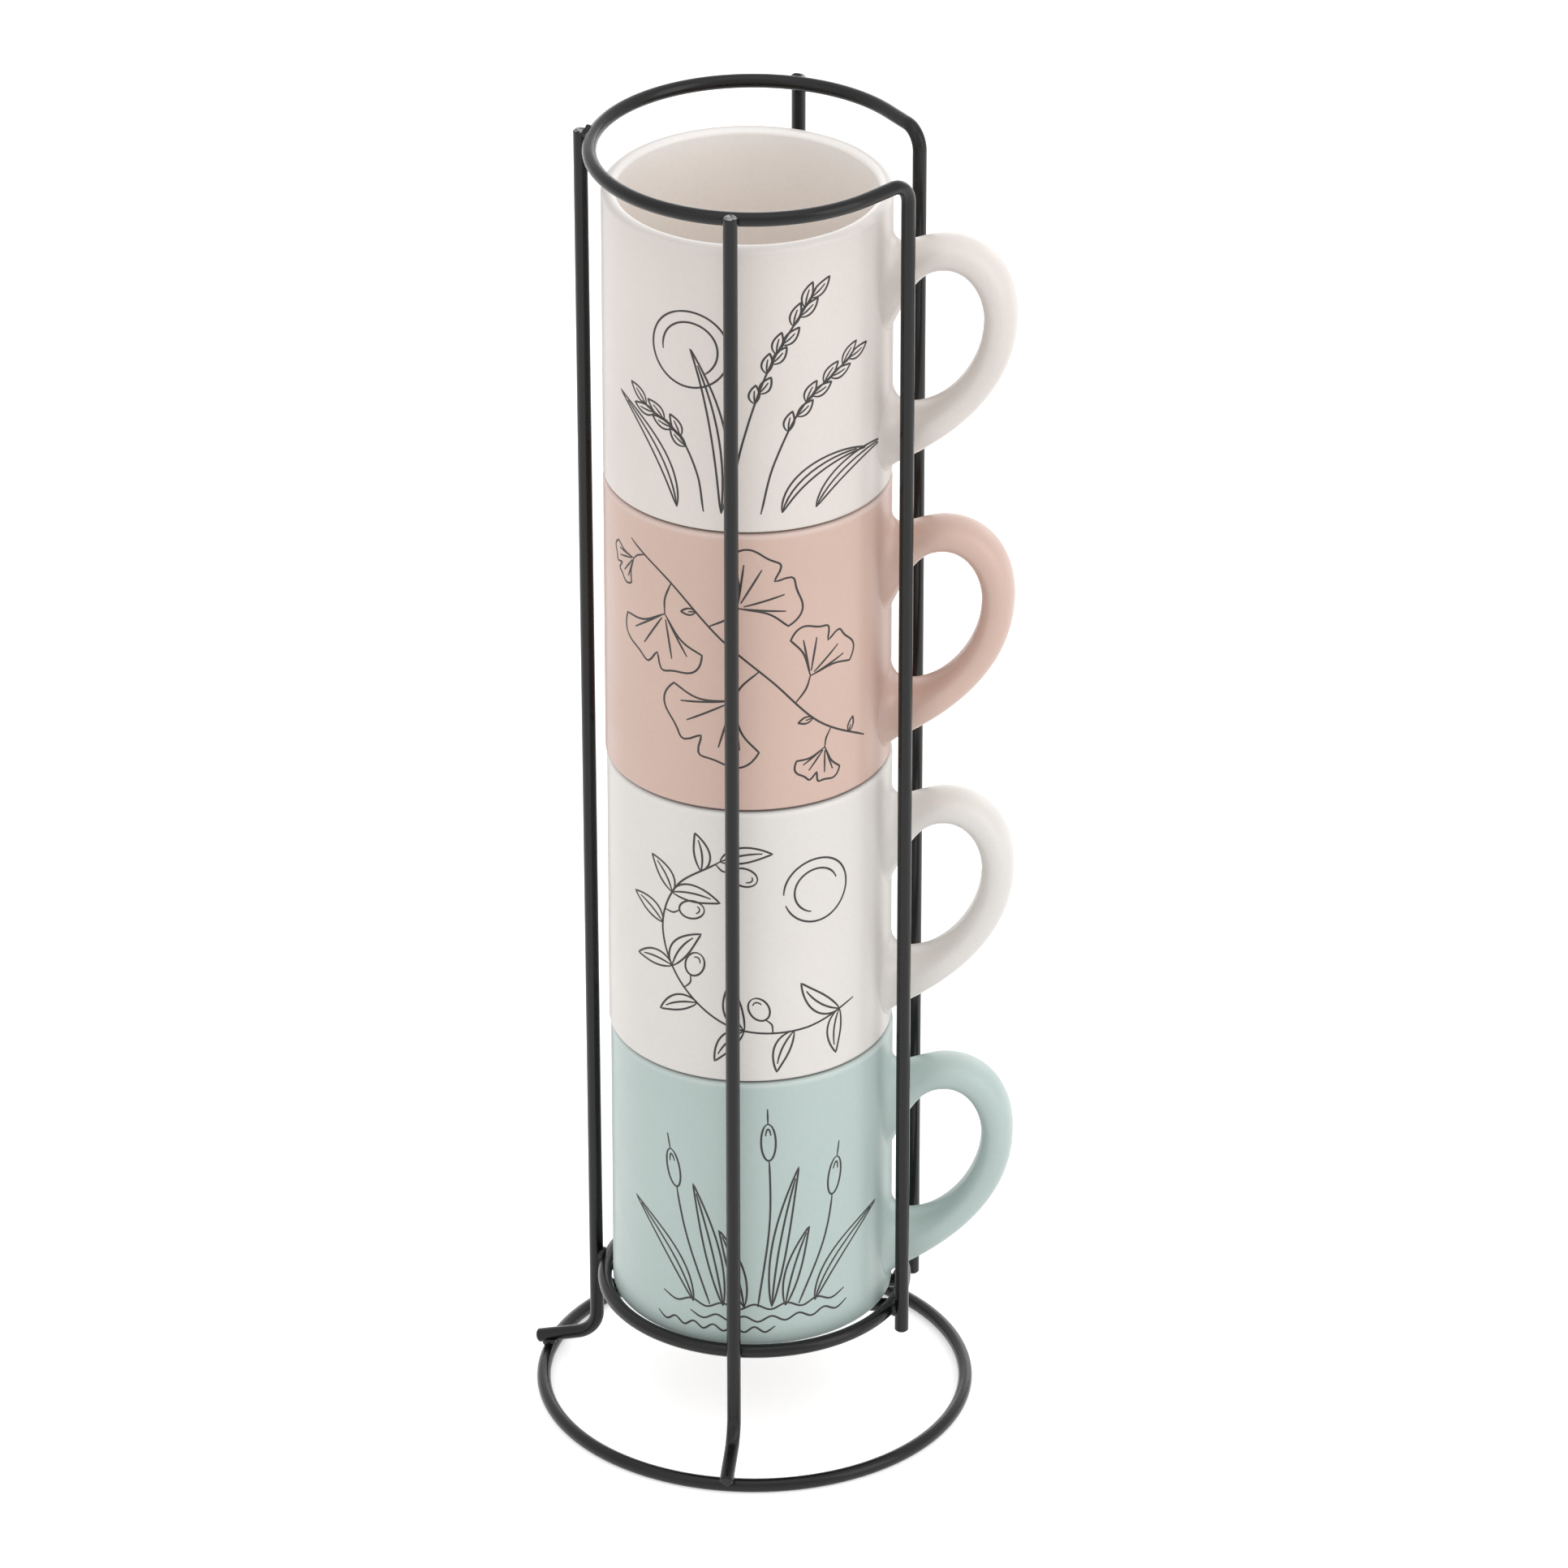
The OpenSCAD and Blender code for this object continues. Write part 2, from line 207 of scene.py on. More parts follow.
def distance_from_axis(tree, coordinates, centre):
    """How far a point is from the upright line through `centre`."""
    from_centre = vector_maths(tree, "SUBTRACT", _0=coordinates, _1=centre)["Vector"]
    level = vector_maths(tree, "MULTIPLY", _0=from_centre, _1=(1, 1, 0))["Vector"]
    return vector_maths(tree, "LENGTH", _0=level)["Value"]


def seen_directly(tree, strength, otherwise=0):
    """`strength` for rays from the camera, off gloss or through glass, and `otherwise` for the rest."""
    path = add_node(tree, "ShaderNodeLightPath").outputs
    gloss_or_glass = maths(tree, "MAXIMUM", path["Is Glossy Ray"], path["Is Transmission Ray"])
    direct = maths(tree, "MAXIMUM", path["Is Camera Ray"], gloss_or_glass)
    return remap(tree, direct, 0, 1, otherwise, strength)


# ---- Materials ----

def glaze(mug):
    """Satin glaze that thins to pale at the rim, with a painted highlight just below the rim outside,
    over a bare foot with a band of painted seam shade above it.
    """
    material, tree, shader = new_material(mug.name + "_glaze")
    place = object_coordinates(tree)
    z = height_of(tree, place)
    outer, inner = mug.colours
    pale_outer, pale_inner = (tuple(c + THIN_GLAZE_AND_HIGHLIGHT_SHARE * (NEAR_WHITE - c) for c in colour)
                              for colour in mug.colours)

    radius = distance_from_axis(tree, place, mug.centre)
    inside = remap(tree, radius, mug.radius - 0.45 * WALL, mug.radius - 0.65 * WALL)
    palest_z = mug.rim_z - 0.8 * MM
    # Outside, below the rim: pale thin glaze, and partly a painted highlight of the rounded rim
    thin_glaze_and_highlight_outside = remap(tree, z, mug.rim_z - 2 * MM, palest_z, 0, 0.35)
    thin_inside = remap(tree, z, mug.rim_z - 9 * MM, palest_z, 0, 0.9)
    colour = blend_colour(tree, inside, blend_colour(tree, thin_glaze_and_highlight_outside, outer, pale_outer),
                          blend_colour(tree, thin_inside, inner, pale_inner))

    clouds = vary(tree, place, 45 * MM, 0.975, 1.02, detail=3)
    mottle = vary(tree, place, 1.2 * MM, 0.985, 1.012)
    colour = scale_colour(tree, scale_colour(tree, colour, clouds), mottle)
    # Painted shade: a dark band just above the shoulder, where the gap to the mug beneath lies in shadow
    painted_seam_shade, reach = mug.painted_seam_shade
    seam_shade_top = mug.shoulder_z + reach
    seam_shade_mask = remap(tree, z, seam_shade_top, seam_shade_top - 0.35 * MM)
    colour = blend_colour(tree, seam_shade_mask, colour, painted_seam_shade)
    foot_z = mug.shoulder_z - FOOT_H
    bare = remap(tree, z, foot_z + 0.5 * MM, foot_z + 0.2 * MM)
    colour = blend_colour(tree, bare, colour, BISQUE)
    tree.links.new(colour, shader.inputs["Base Color"])

    satin = vary(tree, place, 12 * MM, 0.36, 0.44, detail=3)
    bare_roughness = 0.8
    tree.links.new(blend_number(tree, bare, satin, bare_roughness), shader.inputs["Roughness"])
    shader.inputs["IOR"].default_value = 1.5
    shader.inputs["Coat Weight"].default_value = 0.1
    shader.inputs["Coat Roughness"].default_value = 0.15

    flow = bump(tree, noise(tree, place, 28 * MM, detail=1), 0.25 * MM, 0.35)
    grain = bump(tree, noise(tree, place, 0.9 * MM), 0.012 * MM, 0.35, flow)
    tree.links.new(grain, shader.inputs["Normal"])
    return material


def powder_coat(name, cut_above=None):
    """Charcoal powder coat with fine orange peel. Above cut_above the wire's cut end shows through."""
    material, tree, shader = new_material(name)
    place = object_coordinates(tree)
    patches = vary(tree, place, 9 * MM, 0.88, 1.12, detail=3)
    grain = vary(tree, place, 0.45 * MM, 0.85, 1.15)
    paint = scale_colour(tree, scale_colour(tree, COAT, patches), grain)
    if cut_above is not None:
        at_end = remap(tree, height_of(tree, place), cut_above, cut_above + 0.2 * MM)
        worn = remap(tree, noise(tree, place, 0.9 * MM), 0.42, 0.55)
        paint = blend_colour(tree, maths(tree, "MULTIPLY", at_end, worn), paint, CUT_STEEL)
    tree.links.new(paint, shader.inputs["Base Color"])
    tree.links.new(vary(tree, place, 2.5 * MM, 0.20, 0.28), shader.inputs["Roughness"])
    shader.inputs["Specular IOR Level"].default_value = 0.36
    peel = bump(tree, noise(tree, place, 1.3 * MM), 0.03 * MM, 0.8)
    fine = bump(tree, noise(tree, place, 0.35 * MM), 0.008 * MM, 0.7, peel)
    tree.links.new(fine, shader.inputs["Normal"])
    return material


def print_ink():
    """Fired line print: near black, thinner and greyer in places."""
    material, tree, shader = new_material("print_ink")
    place = object_coordinates(tree)
    faded_ink = tuple(INK_FADE * c for c in INK)
    thin = remap(tree, noise(tree, place, 3.5 * MM, detail=3), 0.45, 0.75, 0, 0.5)
    tree.links.new(blend_colour(tree, thin, INK, faded_ink), shader.inputs["Base Color"])
    tree.links.new(vary(tree, place, 0.8 * MM, 0.35, 0.5), shader.inputs["Roughness"])
    return material


def floor_white(glow):
    """Pale floor that the camera and glossy surfaces see as white, with the object's shadow on it."""
    material, tree, shader = new_material("floor_white")
    shader.inputs["Base Color"].default_value = (0.82, 0.82, 0.82, 1)
    shader.inputs["Roughness"].default_value = 0.9
    shader.inputs["Specular IOR Level"].default_value = 0.1
    shader.inputs["Emission Color"].default_value = (1, 1, 1, 1)
    tree.links.new(seen_directly(tree, glow), shader.inputs["Emission Strength"])
    return material


def paint_node(node, material):
    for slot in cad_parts[node].material_slots:
        slot.material = material


# ---- Pieces ----

def add_object(name, data):
    added = bpy.data.objects.new(name, data)
    bpy.context.scene.collection.objects.link(added)
    return added


def make_piece(name, points, faces, material, body):
    mesh = bpy.data.meshes.new(name)
    mesh.from_pydata(points, [], faces)
    bm = bmesh.new()
    bm.from_mesh(mesh)
    bmesh.ops.recalc_face_normals(bm, faces=bm.faces)
    bm.to_mesh(mesh)
    bm.free()
    mesh.materials.append(material)
    piece = add_object(name, mesh)
    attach(piece, body)
    return piece


def tube_faces(rings, sides):
    """Faces of a closed tube of `rings` rings, with a centre point after them for each end."""
    faces = []
    for k in range(rings - 1):
        for i in range(sides):
            j = (i + 1) % sides
            faces.append((k * sides + i, k * sides + j, (k + 1) * sides + j, (k + 1) * sides + i))
    last_ring = (rings - 1) * sides
    first_centre = rings * sides
    last_centre = first_centre + 1
    for i in range(sides):
        j = (i + 1) % sides
        faces.append((first_centre, j, i))
        faces.append((last_centre, last_ring + i, last_ring + j))
    return faces


class Mug:
    """What sets one mug apart from the others, and where it stands, from the box of its cup."""

    def __init__(self, name, handle_turn, slot, colours, painted_seam_shade, draw_print):
        low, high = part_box(name + "_cup")
        self.name = name
        self.short_name = name.replace("_mug", "")
        self.turn = math.radians(handle_turn)
        self.slot = slot
        self.colours = colours
        self.painted_seam_shade = painted_seam_shade
        self.draw_print = draw_print
        self.centre = Vector(((low.x + high.x) / 2, (low.y + high.y) / 2, 0))
        self.radius = (high.x - low.x) / 2
        self.shoulder_z = low.z + FOOT_H
        self.rim_z = high.z

    def place(self, point):
        """A point of the mug's own frame, handle along +X and zero height at the shoulder."""
        turned = Matrix.Rotation(self.turn, 3, "Z") @ Vector(point)
        return turned + self.centre + Vector((0, 0, self.shoulder_z))

    def on_wall(self, angle, height, lift):
        """A point at an angle round the wall, a height above the shoulder and `lift` off the wall."""
        r = self.radius + lift
        z = self.shoulder_z + height
        return self.centre + Vector((r * math.cos(angle), r * math.sin(angle), z))


# ---- Handles ----

FILLET_R = 4 * MM         # clay smoothed into the corner between handle and wall
FILLET_UNDER = 0.35       # share of it under a joint, where the two meet at a slant
SETTLE = 7 * MM           # stretch over which the handle's ends follow the round wall
SINK = 0.15 * MM          # how deep the ends are bedded in the wall
HANDLE_SIDES = 48
CURVE_STEPS = 26
CROWDING = 1.9            # 1 spaces the rings evenly, and more draws them towards the joints

# The three curves of each outline, from the upper joint on
UPPER_CURVE = 0
SIDE_CURVE = 1
LOWER_CURVE = 2


def bezier(points, t):
    """The place at t on the Bezier curve with these four control points."""
    s = 1 - t
    return tuple(s ** 3 * a + 3 * t * s * s * b + 3 * t * t * s * c + t ** 3 * d
                 for a, b, c, d in zip(*points))


def handle_outlines(wall):
    """The handle's side view, beside a cup of radius `wall`: its outer and its inner outline.

    Each is three Bezier curves: from the upper joint to the crest, to the widest reach,
    and to the lower joint.
    """
    outer_x = wall + HANDLE_OUT
    inner_x = outer_x - HANDLE_T
    crest = CREST_SHARE * HANDLE_OUT
    crest_x = wall + crest
    inner_top = HANDLE_TOP - HANDLE_T
    upper_low = UPPER_JOINT_TOP - UPPER_JOINT_H
    lower_top = LOWER_JOINT + LOWER_JOINT_H
    side = HANDLE_SIDE
    outer = [
        ((wall, UPPER_JOINT_TOP),
         (wall + 0.5 * crest, HANDLE_TOP - 0.3 * (HANDLE_TOP - UPPER_JOINT_TOP)),
         (wall + 0.7 * crest, HANDLE_TOP),
         (crest_x, HANDLE_TOP)),
        ((crest_x, HANDLE_TOP),
         (crest_x + 0.6 * (outer_x - crest_x), HANDLE_TOP),
         (outer_x, side + 0.6 * (HANDLE_TOP - side)),
         (outer_x, side)),
        ((outer_x, side),
         (outer_x, LOWER_JOINT + 0.57 * (side - LOWER_JOINT)),
         (wall + 0.56 * HANDLE_OUT, LOWER_JOINT + 0.22 * (side - LOWER_JOINT)),
         (wall, LOWER_JOINT)),
    ]
    inner = [
        ((wall, upper_low),
         (wall + 0.24 * crest, upper_low + 0.25 * (inner_top - upper_low)),
         (wall + 0.35 * crest, inner_top),
         (crest_x, inner_top)),
        ((crest_x, inner_top),
         (crest_x + 0.6 * (inner_x - crest_x), inner_top),
         (inner_x, side + 0.5 * (inner_top - side)),
         (inner_x, side)),
        ((inner_x, side),
         (inner_x, lower_top + 0.43 * (side - lower_top)),
         (wall + 0.45 * (inner_x - wall), lower_top - 0.27 * LOWER_JOINT_H),
         (wall, lower_top)),
    ]
    return outer, inner


def handle_stations():
    """Where the rings stand: (curve, share of the way along it), closer together towards both joints."""
    crowded = [(k / CURVE_STEPS) ** CROWDING for k in range(CURVE_STEPS + 1)]
    stations = [(UPPER_CURVE, t) for t in crowded]
    stations += [(SIDE_CURVE, k / CURVE_STEPS) for k in range(1, CURVE_STEPS + 1)]
    stations += [(LOWER_CURVE, 1 - t) for t in reversed(crowded[:-1])]
    return stations


def half_width(curve, t):
    """Half the handle's width, which grows towards both joints."""
    if curve == SIDE_CURVE:
        return HANDLE_W / 2
    from_joint = (t if curve == UPPER_CURVE else 1 - t) / FLARE_SHARE
    return (HANDLE_W + HANDLE_FLARE * max(0, 1 - from_joint) ** 2) / 2


def flatter(value):
    """Turns an ellipse's sine or cosine into that of the handle's squarer section."""
    return math.copysign(abs(value) ** (2 / SECTION_POWER), value)


def fillet_push(off_wall, across, up):
    """How far the fillet moves a point that lies across and up from the section's middle."""
    near = 1 - off_wall / FILLET_R
    push = FILLET_R * (1 - math.sqrt(1 - near * near))
    away = Vector((across, up)).normalized()
    if away.y < 0:
        push *= 1 + (FILLET_UNDER - 1) * -away.y
    return push * away.x, push * away.y


def handle_ring(wall, outer, inner, curve, t):
    """One ring of the handle, in the mug's own frame, widened into a fillet where it nears the wall."""
    wide = half_width(curve, t)
    top, low = bezier(outer[curve], t), bezier(inner[curve], t)
    middle = [(a + b) / 2 for a, b in zip(top, low)]
    half = [(a - b) / 2 for a, b in zip(top, low)]
    ring = []
    for i in range(HANDLE_SIDES):
        a = 2 * math.pi * i / HANDLE_SIDES
        x = middle[0] + half[0] * flatter(math.cos(a))
        z = middle[1] + half[1] * flatter(math.cos(a))
        y = wide * flatter(math.sin(a))
        off_wall = max(0, x - wall)
        if curve != SIDE_CURVE and off_wall < FILLET_R:
            sideways, up = fillet_push(off_wall, y, z - middle[1])
            y += sideways
            z += up
        # The wall curves away from the handle's middle, and the ends go with it
        follow = max(0, 1 - off_wall / SETTLE)
        x += (math.sqrt(wall * wall - y * y) - wall) * follow
        if off_wall == 0:
            x -= SINK
        ring.append((x, y, z))
    return ring


def make_handle(mug, material):
    outer, inner = handle_outlines(mug.radius)
    rings = [handle_ring(mug.radius, outer, inner, curve, t) for curve, t in handle_stations()]
    ends = [sum((Vector(p) for p in ring), Vector()) / len(ring) for ring in (rings[0], rings[-1])]
    ends = [(end.x - SINK, end.y, end.z) for end in ends]
    points = [mug.place(p) for p in [p for ring in rings for p in ring] + ends]
    piece = make_piece(mug.short_name + "_handle_glazed", points, tube_faces(len(rings), HANDLE_SIDES),
                       material, mug.name)
    # The triangles that close the ends stay flat
    for face in piece.data.polygons:
        face.use_smooth = len(face.vertices) == 4
    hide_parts(mug.name + "_handle")


# ---- Line prints ----
# Drawn flat in millimetres, x along the wall from the print's middle and y above the
# shoulder, then laid on the wall as thin raised lines. Angles are in degrees, and 90 is up.

PRINT_MIDDLE = math.radians(-83)   # round the wall from +X, so a little to the right of the front
LINE_W = 0.6
LINE_STEP = 1.2           # longest step that still follows the round wall
LEAST_STEP = 0.05
TIP_SHARE = 0.55          # share of the line's width that its tips keep
TAPER = 3.5               # stretch over which a line narrows to its tip
TAPER_START = 0.4         # how far along that stretch the tip itself is
LINE_LIFT = 0.04 * MM     # how far a line stands off the wall
LINE_SINK = 0.08 * MM     # how deep it is bedded in the wall


def heading(angle, length=1):
    return Vector((math.cos(math.radians(angle)), math.sin(math.radians(angle)))) * length


def curve_through(points, steps=8):
    """A smooth line through the points (Catmull-Rom)."""
    knots = [Vector(p) for p in points]
    knots = [2 * knots[0] - knots[1], *knots, 2 * knots[-1] - knots[-2]]
    line = []
    for a, b, c, d in zip(knots, knots[1:], knots[2:], knots[3:]):
        for k in range(steps):
            t = k / steps
            line.append(0.5 * (2 * b + (c - a) * t + (2 * a - 5 * b + 4 * c - d) * t * t
                               + (3 * b - a - 3 * c + d) * t ** 3))
    return [*line, knots[-2]]


def oval(centre, half_long, half_wide, tilt=0, start=0, sweep=360, steps=40):
    along, across = heading(tilt, half_long), heading(tilt + 90, half_wide)
    turns = [math.radians(start + sweep * k / steps) for k in range(steps + 1)]
    return [Vector(centre) + along * math.cos(turn) + across * math.sin(turn) for turn in turns]


def circle(centre, radius, start=0, sweep=360, steps=40):
    return oval(centre, radius, radius, 0, start, sweep, steps)


def point_on(line, share):
    """A point some share of the way along a line, and the line's direction there."""
    k = min(int(share * (len(line) - 1)), len(line) - 2)
    way = line[k + 1] - line[k]
    return line[k], math.degrees(math.atan2(way.y, way.x))


def midrib(base, angle, length, bow, t):
    """A point along a leaf's middle, whose bearing from the base turns by `bow` up to the tip."""
    return Vector(base) + heading(angle + bow * t, length * t)


def leaf(base, angle, length, width, bow=18, rib=0.82):
    """Outline of a leaf in one stroke, and its midrib, which ends at the share `rib` of the length."""
    edge_steps = 22
    rib_steps = 12
    sides = []
    for side in (1, -1):
        edge = []
        for k in range(edge_steps + 1):
            t = k / edge_steps
            # Fuller than a sine's bulge, and widest a little nearer to the base
            bulge = side * width / 2 * math.sin(math.pi * t ** 0.85) ** 0.9
            edge.append(midrib(base, angle, length, bow, t) + heading(angle + bow * t + 90, bulge))
        sides.append(edge)
    outline = sides[0] + sides[1][::-1][1:]
    middle = [midrib(base, angle, length, bow, rib * k / rib_steps) for k in range(rib_steps + 1)]
    return [outline, middle]


def ginkgo(base, angle, length, spread):
    """A fan-shaped leaf on its stalk, with a notch and a wavy edge. `spread` is half the fan's angle."""
    edge_steps = 48
    veins = 5
    fan_base = Vector(base) + heading(angle, 0.36 * length)
    edge = []
    for k in range(edge_steps + 1):
        t = 2 * k / edge_steps - 1
        wave = 0.035 * math.cos(9 * t)
        notch = 0.3 * math.exp(-(t / 0.09) ** 2)
        rounding = 0.1 * t ** 6
        reach = 0.64 * length * (0.97 + wave - notch - rounding)
        edge.append(fan_base + heading(angle - spread * t, reach))
    left = curve_through([fan_base, fan_base + heading(angle + 0.82 * spread, 0.3 * length), edge[0]])
    right = curve_through([edge[-1], fan_base + heading(angle - 0.82 * spread, 0.3 * length), fan_base])
    strokes = [left + edge[1:-1] + right]
    for k in range(veins):
        vein = angle + spread * 0.72 * (1 - 2 * k / (veins - 1))
        # The middle vein would run into the notch
        if abs(vein - angle) > 1:
            strokes.append([fan_base + heading(vein, 0.06 * length),
                            fan_base + heading(vein, 0.47 * length)])
    stalk = curve_through([base, Vector(base) + heading(angle - 9, 0.2 * length), fan_base])
    return strokes + [stalk]


def print_grasses():
    """Tall grasses bending before a low sun."""
    strokes = [circle((-17, 55), 11.5, 100, 375, 64), circle((-17, 55), 8.2, -60, 250)]
    stems = [
        curve_through([(-6, 6), (-2, 28), (6, 52), (19, 73)]),
        curve_through([(3, 6), (7, 22), (16, 39), (32, 50)]),
        curve_through([(-13, 6), (-15, 18), (-21, 29), (-33, 35)]),
    ]
    for stem, grains in zip(stems, (10, 8, 6)):
        strokes.append(stem)
        for k in range(grains):
            at, lean = point_on(stem, 1 - k / (grains * 1.9))
            side = 1 if k % 2 else -1
            strokes += leaf(at, lean + 30 * side, 7.8 - 0.25 * k, 3, -14 * side, 0.7)
    blades = [(-21, 97, 36, 30), (9, 76, 31, -52), (19, 62, 30, -40), (-8, 84, 50, 16)]
    for foot, angle, length, bow in blades:
        strokes += leaf((foot, 6), angle, length, 4.2, bow, 0.9)
    return strokes


def print_ginkgo():
    """A slanting branch with fan leaves on both sides."""
    branch = curve_through([(-38, 78), (-23, 69), (-8, 54), (6, 41), (20, 26), (37, 16)])
    strokes = [branch]
    fans = [(0.22, 258, 29, 60), (0.37, 38, 29, 62), (0.56, 232, 33, 62),
            (0.70, 60, 25, 56), (0.86, 250, 17, 54), (0.08, 212, 15, 50)]
    for share, angle, length, spread in fans:
        strokes += ginkgo(point_on(branch, share)[0], angle, length, spread)
    buds = [(0.30, 190), (0.47, 100), (0.79, 190), (0.93, 70)]
    for share, angle in buds:
        strokes += leaf(point_on(branch, share)[0], angle, 4.5, 2, 0, 0.5)
    return strokes


def olive(foot, lean):
    """An olive with a highlight, on its stalk. `lean` is the twig's direction at its foot."""
    tip = foot + heading(lean - 62, 5)
    return [curve_through([foot, foot + heading(lean - 80, 2.8), tip]),
            oval(tip + heading(lean - 58, 3.9), 3.9, 2.8, lean - 58),
            oval(tip + heading(lean - 58, 4.2), 2.2, 1.4, lean - 58, -70, 110, 16)]


def print_olive():
    """An olive twig bent round the moon, with its fruit."""
    twig = curve_through([(32, 21), (14, 16), (-6, 18), (-21, 30), (-27, 46), (-22, 61), (-9, 71)], 10)
    strokes = [twig]
    nodes = 8
    for k in range(nodes):
        at, lean = point_on(twig, (k + 0.5) / nodes)
        strokes += leaf(at, lean + 44, 14 - 0.3 * k, 4.8, 22)
        if k % 2 == 0:
            strokes += leaf(at, lean - 38, 17 - 0.4 * k, 5.4, -24)
        else:
            strokes += olive(*point_on(twig, (k + 0.9) / nodes))
    strokes += leaf(twig[-1], 30, 15, 5, -20)
    strokes += [circle((19, 60), 10, 200, 340, 60), circle((19, 60), 6.8, 20, 235)]
    return strokes


def bulrush(foot, top, bow):
    """A stem, the head at its top with a highlight, and the spike above it."""
    half_head = 6
    middle = ((foot[0] + top[0]) / 2 + bow / 2, (foot[1] + top[1]) / 2)
    stem = curve_through([foot, middle, top])
    lean = point_on(stem, 1)[1]
    head = stem[-1] + heading(lean, -3.5)
    below = [p for p in stem if (p - head).length > half_head]
    return [below + [head - heading(lean, half_head)],
            oval(head, half_head, 2.1, lean),
            oval(head, 4.4, 0.9, lean, -60, 120, 16),
            [head + heading(lean, half_head), head + heading(lean, 11)]]


def print_reeds():
    """Bulrushes over rippled water."""
    water = 13
    strokes = []
    for foot, x, y, bow in ((-13, -25, 59, -3), (1, 4, 71, 4), (13, 25, 56, 5)):
        strokes += bulrush((foot, water), (x, y), bow)
    blades = [(-18, 106, 35, 22), (-9, 98, 40, 5), (-3, 96, 26, 10),
              (5, 86, 46, -6), (9, 82, 26, -8), (18, 74, 34, -30)]
    for foot, angle, length, bow in blades:
        strokes += leaf((foot, water), angle, length, 4.4, bow, 0.92)
    for x, y, length in ((-28, water, 56), (-19, 9, 48), (-30, 5.5, 36)):
        ripples = [(x + length * k / 12, y + 0.9 * (-1) ** k) for k in range(13)]
        strokes.append(curve_through(ripples, 5))
    return strokes


def even_steps(stroke):
    """The stroke with no step so long that it would cut into the round wall, nor of no length."""
    line = [Vector(stroke[0])]
    for point in stroke[1:]:
        start = line[-1]
        way = Vector(point) - start
        if way.length > LEAST_STEP:
            count = math.ceil(way.length / LINE_STEP)
            line += [start + way * (k / count) for k in range(1, count + 1)]
    return line


def lay_line(mug, stroke, points, faces):
    """Adds one stroke to a print's mesh: a thin closed strip that is bedded in the wall."""
    line = even_steps(stroke)
    total = sum((b - a).length for a, b in zip(line, line[1:]))
    first = len(points)
    done = 0
    for k, p in enumerate(line):
        if k:
            done += (p - line[k - 1]).length
        way = (line[min(k + 1, len(line) - 1)] - line[max(k - 1, 0)]).normalized()
        from_tip = min(done, total - done)
        full = min(1, (TAPER_START + from_tip) / TAPER)
        half = LINE_W / 2 * (TIP_SHARE + (1 - TIP_SHARE) * full)
        side = Vector((-way.y, way.x)) * half
        corners = ((side, -LINE_SINK), (side, LINE_LIFT), (-side, LINE_LIFT), (-side, -LINE_SINK))
        for offset, lift in corners:
            at = (p + offset) * MM
            points.append(mug.on_wall(PRINT_MIDDLE + at.x / mug.radius, at.y, lift))
    for k in range(len(line) - 1):
        for i in range(4):
            a, b = first + 4 * k + i, first + 4 * k + (i + 1) % 4
            faces.append((a, b, b + 4, a + 4))
    last = first + 4 * (len(line) - 1)
    faces.append((first, first + 3, first + 2, first + 1))
    faces.append((last, last + 1, last + 2, last + 3))


def make_print(mug, material):
    points, faces = [], []
    for stroke in mug.draw_print():
        lay_line(mug, stroke, points, faces)
    make_piece(mug.short_name + "_print", points, faces, material, mug.name)


# ---- Dress the object ----

# From below, with the turn of each handle in the slot in degrees
MUGS = [
    Mug("mint_mug", 1, "mint_glaze", MINT, PAINTED_SEAM_SHADE, print_reeds),
    Mug("lower_cream_mug", 0, "cream_glaze", PLAIN_CREAM, PAINTED_SEAM_SHADE, print_olive),
    Mug("pink_mug", -2, "pink_glaze", PINK, DARK_PAINTED_SEAM_SHADE, print_ginkgo),
    Mug("upper_cream_mug", -3, "cream_glaze", CREAM, PAINTED_SEAM_SHADE, print_grasses),
]

coat = powder_coat("powder_coat_charcoal")
for node in RACK_NODES:
    paint_node(node, coat)
# Each upright ends at its own height, so each has a coat of its own
for node in UPRIGHTS:
    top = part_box(node)[1].z
    paint_node(node, powder_coat("powder_coat_" + node, top - 0.35 * MM))

ink = print_ink()
for mug in MUGS:
    glazed = glaze(mug)
    paint_node(mug.name + "_cup", glazed)
    make_handle(mug, glazed)
    make_print(mug, ink)


# ---- Floor, world, lamps ----

FLOOR_HALF = 12.0
FLOOR_GLOW = 0.52            # with the light that falls on it, this makes the floor white
STACK_MIDDLE = Vector((0, 0, (cad_low.z + cad_high.z) / 2))


def way_to(azimuth, elevation):
    """The direction from the object to a place round it. Azimuth 0 is in front, on -Y, and 90 on +X."""
    a, e = math.radians(azimuth), math.radians(elevation)
    return Vector((math.sin(a) * math.cos(e), -math.cos(a) * math.cos(e), math.sin(e)))


def point_at(thing, target, azimuth, elevation, distance):
    """Puts a lamp or the camera at its place round the target, facing it."""
    way = way_to(azimuth, elevation)
    thing.location = target + way * distance
    thing.rotation_mode = "QUATERNION"
    thing.rotation_quaternion = (-way).to_track_quat("-Z", "Y")


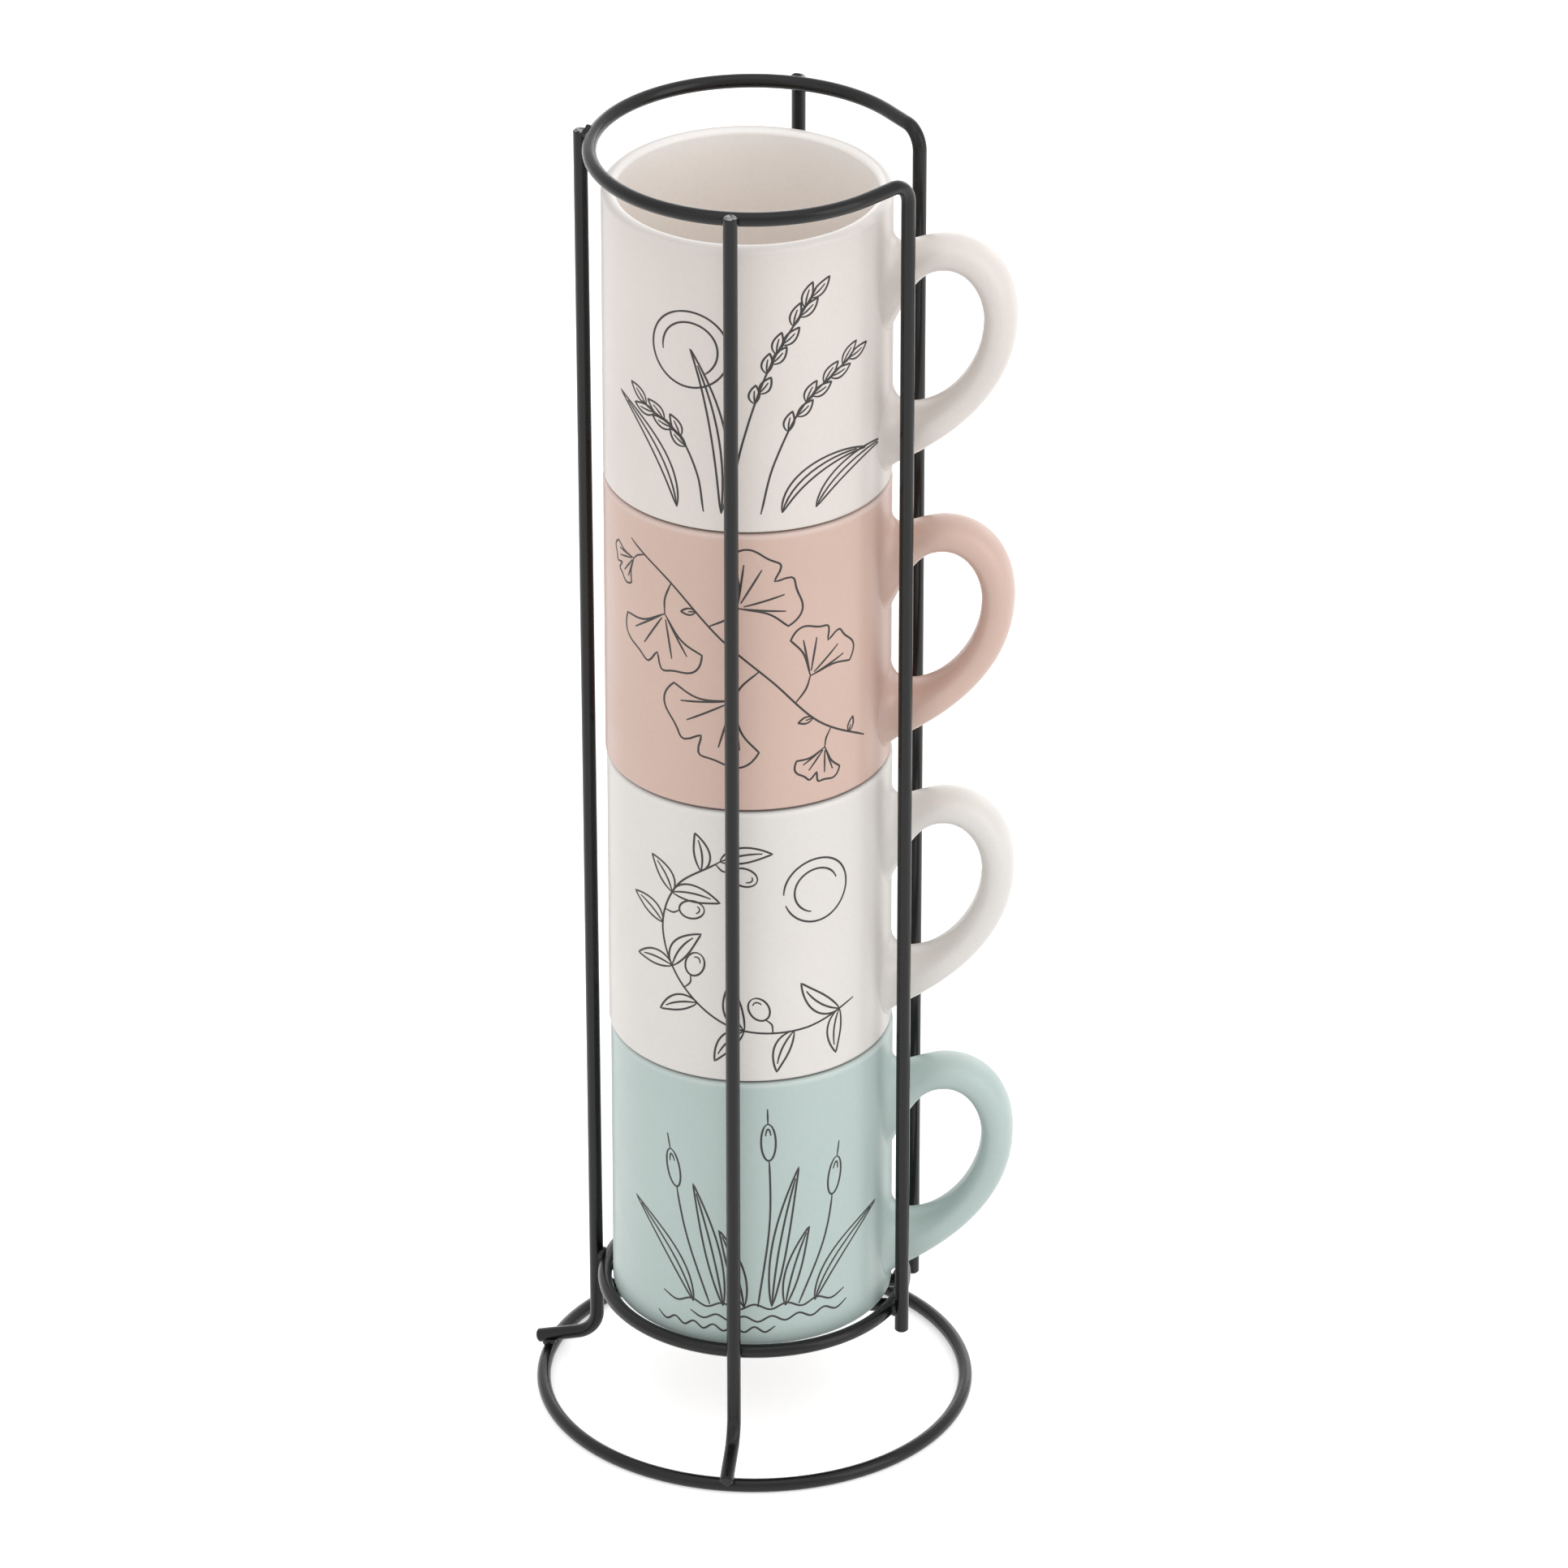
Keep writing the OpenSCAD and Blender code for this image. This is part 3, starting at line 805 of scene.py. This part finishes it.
def make_floor():
    mesh = bpy.data.meshes.new("floor")
    corners = [(x * FLOOR_HALF, y * FLOOR_HALF, 0) for x, y in ((-1, -1), (1, -1), (1, 1), (-1, 1))]
    mesh.from_pydata(corners, [], [(0, 1, 2, 3)])
    mesh.materials.append(floor_white(FLOOR_GLOW))
    floor = add_object("floor", mesh)


def make_world(strength):
    """Even white surroundings, which light the object with `strength`."""
    world = bpy.data.worlds.new("studio")
    bpy.context.scene.world = world
    world.use_nodes = True
    tree = world.node_tree
    background = tree.nodes["Background"]
    background.inputs["Color"].default_value = (1, 1, 1, 1)
    tree.links.new(seen_directly(tree, 1, strength), background.inputs["Strength"])


def make_softbox(name, azimuth, elevation, distance, width, height, power):
    lamp = bpy.data.lights.new(name, "AREA")
    lamp.shape = "RECTANGLE"
    lamp.size = width
    lamp.size_y = height
    lamp.energy = power
    point_at(add_object(name, lamp), STACK_MIDDLE, azimuth, elevation, distance)


make_floor()
make_world(strength=0.95)
make_softbox("key", azimuth=-34, elevation=34, distance=1.6, width=0.9, height=1.5, power=1.1)
make_softbox("fill", azimuth=66, elevation=26, distance=1.8, width=1.0, height=1.6, power=6.5)
make_softbox("top", azimuth=10, elevation=78, distance=1.7, width=1.2, height=1.2, power=2.5)
make_softbox("back", azimuth=174, elevation=12, distance=1.7, width=1.8, height=0.7, power=5)


# ---- Camera ----

CAMERA_AZIMUTH = 6.0
CAMERA_ELEVATION = 28.47
CAMERA_DISTANCE = 3.0182
CAMERA_LENS = 244.6          # this and the sensor's width are in millimetres, as Blender has them
CAMERA_SENSOR = 36
AIM_HEIGHT = 197.6 * MM
AIM_RIGHT = 8.6 * MM         # to the camera's right of the rack's middle


def make_camera():
    data = bpy.data.cameras.new("camera")
    data.sensor_width = CAMERA_SENSOR
    data.lens = CAMERA_LENS
    camera = add_object("camera", data)
    a = math.radians(CAMERA_AZIMUTH)
    aim = Vector((math.cos(a), math.sin(a), 0)) * AIM_RIGHT + Vector((0, 0, AIM_HEIGHT))
    point_at(camera, aim, CAMERA_AZIMUTH, CAMERA_ELEVATION, CAMERA_DISTANCE)
    bpy.context.scene.camera = camera


make_camera()
bpy.context.scene.view_settings.view_transform = "Standard"
